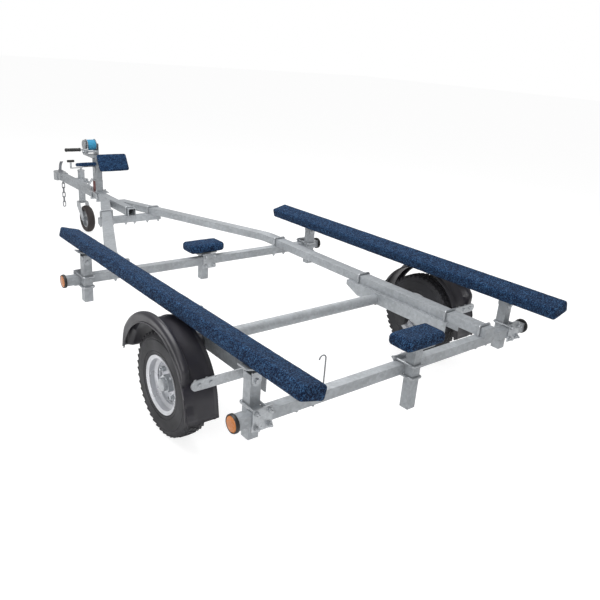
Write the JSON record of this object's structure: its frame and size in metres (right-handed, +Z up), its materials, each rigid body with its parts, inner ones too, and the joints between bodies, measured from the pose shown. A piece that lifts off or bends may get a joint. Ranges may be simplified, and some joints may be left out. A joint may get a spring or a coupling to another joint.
{
  "type": "boat trailer",
  "caption": "Galvanised bunk trailer for a small boat, with carpeted bunks and keel pads, winch post, ball coupling, mudguards and a swivelling jockey wheel.",
  "frame": {"origin": "middle of the bounding box's base, on the ground the wheels stand on", "axes": "+X to the trailer's right-hand side, +Y forwards to the coupling, +Z up"},
  "size_m": [1.566, 3.9283, 0.732],
  "materials": {
    "galvanised": "hot-dip galvanised, light grey with a faint spangle",
    "zinc": "bright zinc plate",
    "dull_zinc": "dull zinc plate",
    "dark_steel": "dark satin",
    "tyre": "black moulded tread and walls",
    "jockey_tyre": "solid brownish black",
    "rim": "silver",
    "mudguard": "black satin moulding",
    "carpet": "navy speckled needle-felt carpet",
    "strap": "blue webbing",
    "black_grip": "black grip",
    "amber": "amber lens in a black ring"
  },
  "bodies": {
    "frame": {"drawbar": "galvanised", "side_member_left": "galvanised", "side_member_right": "galvanised", "rear_cross_member": "galvanised", "front_cross_member": "galvanised", "nose_cross_member": "galvanised", "rear_frame_u_bolts": "zinc", "front_frame_u_bolts": "zinc", "nose_u_bolts": "zinc", "axle_rail_u_bolts": "zinc", "axle_beam": "galvanised", "axle_rail_left": "galvanised", "axle_rail_right": "galvanised", "suspension_arm_left": "dark_steel", "suspension_arm_right": "dark_steel", "mudguard_left": "mudguard", "mudguard_right": "mudguard", "mudguard_stays_left": "zinc", "mudguard_stays_right": "zinc", "bunk_left": "carpet", "bunk_right": "carpet", "bunk_posts_left": "galvanised", "bunk_posts_right": "galvanised", "bunk_brackets_left": "zinc", "bunk_brackets_right": "zinc", "rear_post_clamps": "zinc", "front_post_clamps": "zinc", "keel_posts": "galvanised", "front_keel_pad": "carpet", "rear_keel_pad": "carpet", "winch_post": "galvanised", "winch_post_clamp": "zinc", "winch_frame": "zinc", "winch_drum": "zinc", "winch_strap": "strap", "winch_crank": "black_grip", "snub_bracket": "zinc", "snub_pad_left": "carpet", "snub_pad_right": "carpet", "jockey_clamp": "zinc", "coupling_head": "zinc", "coupling_lever": "dull_zinc", "safety_chain": "dull_zinc", "side_reflectors": "amber", "tie_hook": "dull_zinc"},
    "left_wheel": {"wheel_hub_left": "zinc", "wheel_rim_left": "rim", "tyre_left": "tyre"},
    "right_wheel": {"wheel_hub_right": "zinc", "wheel_rim_right": "rim", "tyre_right": "tyre"},
    "jockey_leg": {"jockey_tube": "galvanised", "jockey_crank": "zinc"},
    "jockey_fork": {"jockey_fork": "zinc"},
    "jockey_wheel": {"jockey_rim": "zinc", "jockey_tyre": "jockey_tyre"}
  },
  "joints": [
    {"name": "left_wheel_spin", "type": "hinge", "parent": "frame", "child": "left_wheel", "pos_m": [-0.7, -1.226, 0.206], "axis": [1, 0, 0], "continuous": true},
    {"name": "right_wheel_spin", "type": "hinge", "parent": "frame", "child": "right_wheel", "pos_m": [0.7, -1.226, 0.206], "axis": [1, 0, 0], "continuous": true},
    {"name": "jockey_raise", "type": "slide", "parent": "frame", "child": "jockey_leg", "axis": [0, 0, 1], "range_m": [0, 0.12]},
    {"name": "jockey_swivel", "type": "hinge", "parent": "jockey_leg", "child": "jockey_fork", "pos_m": [0.062, 1.624, 0.216], "axis": [0, 0, 1], "continuous": true},
    {"name": "jockey_wheel_spin", "type": "hinge", "parent": "jockey_fork", "child": "jockey_wheel", "pos_m": [0.062, 1.539, 0.1], "axis": [1, 0, 0], "continuous": true}
  ]
}
